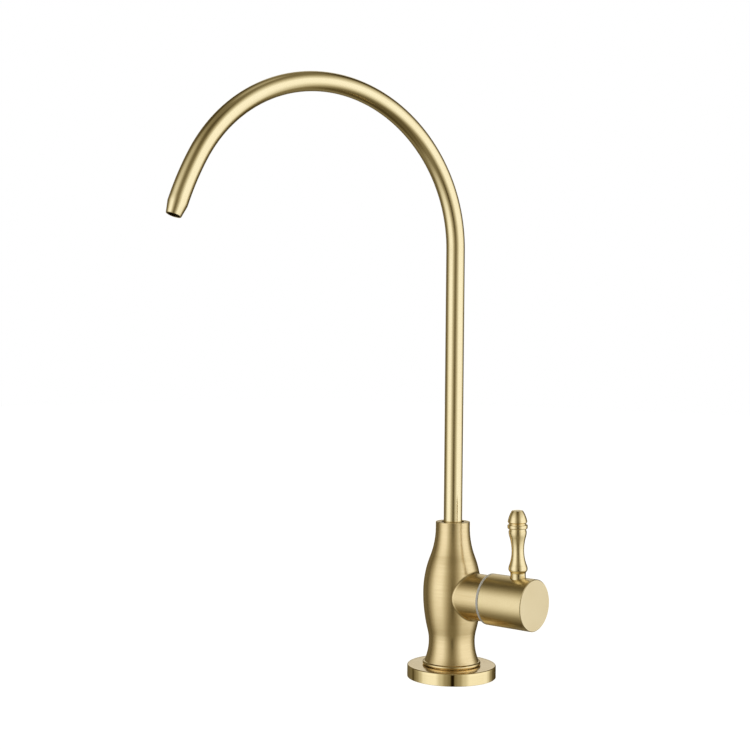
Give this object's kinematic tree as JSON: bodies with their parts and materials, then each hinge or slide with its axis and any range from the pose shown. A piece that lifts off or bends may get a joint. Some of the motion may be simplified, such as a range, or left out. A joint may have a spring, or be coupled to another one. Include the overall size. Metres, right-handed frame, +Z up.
{
  "type": "drinking water filter tap",
  "caption": "Swan-neck drinking water tap with a slim swivelling spout, a turned body, a quarter-turn side lever and a threaded shank that clamps it through a worktop.",
  "frame": {"origin": "centre of the base plate's underside, on the worktop", "axes": "+Z up; +X along the lever's turning axis, out of the side boss; the spout points to -Y, swung 16.7 degrees towards -X"},
  "size_m": [0.1023, 0.1802, 0.3601],
  "materials": {
    "gold_tube": "satin champagne gold, brushed along the tube",
    "gold_body": "satin champagne gold, brushed round the turned body",
    "gold_base": "champagne gold, polished rim and satin top",
    "gold_hub": "satin champagne gold, fine blasted grain",
    "gold_lever": "champagne gold, polished",
    "glide_plastic": "cool grey-white plastic",
    "turned_brass": "plain turned brass",
    "plated_steel": "zinc plated",
    "dark_steel": "blackened",
    "spring_steel": "spring steel",
    "black_rubber": "moulded rubber",
    "black_plastic": "moulded plastic",
    "white_plastic": "turned plastic",
    "ceramic": "lapped ceramic"
  },
  "bodies": {
    "fixed_body": {"body": "gold_body", "foot_o_ring": "black_rubber", "base_plate": "gold_base", "base_gasket": "black_rubber", "threaded_shank": "turned_brass", "worktop_washer": "black_plastic", "lock_washer": "plated_steel", "fixing_nut": "plated_steel", "inlet_nut": "turned_brass", "inlet_ferrule": "white_plastic", "cartridge_housing": "turned_brass", "housing_o_ring": "black_rubber", "seat_seal": "black_rubber", "ceramic_disc_fixed": "ceramic", "glide_ring": "glide_plastic", "spout_snap_ring": "spring_steel", "spout_washer": "white_plastic"},
    "spout": {"spout_tube": "gold_tube", "spout_stem": "turned_brass", "spout_o_rings": "black_rubber"},
    "handle": {"handle_hub": "gold_hub", "lever": "gold_lever", "lever_stud": "dark_steel", "handle_grub_screw": "dark_steel", "spindle": "turned_brass", "spindle_o_rings": "black_rubber", "spindle_circlip": "spring_steel", "friction_washer": "white_plastic", "ceramic_disc_moving": "ceramic"}
  },
  "joints": [
    {"name": "spout_swivel", "type": "hinge", "parent": "fixed_body", "child": "spout", "pos_m": [0, 0, 0], "axis": [0, 0, 1], "continuous": true},
    {"name": "handle_turn", "type": "hinge", "parent": "fixed_body", "child": "handle", "pos_m": [0, 0, 0.0437], "axis": [1, 0, 0], "range_deg": [0, 90]}
  ]
}
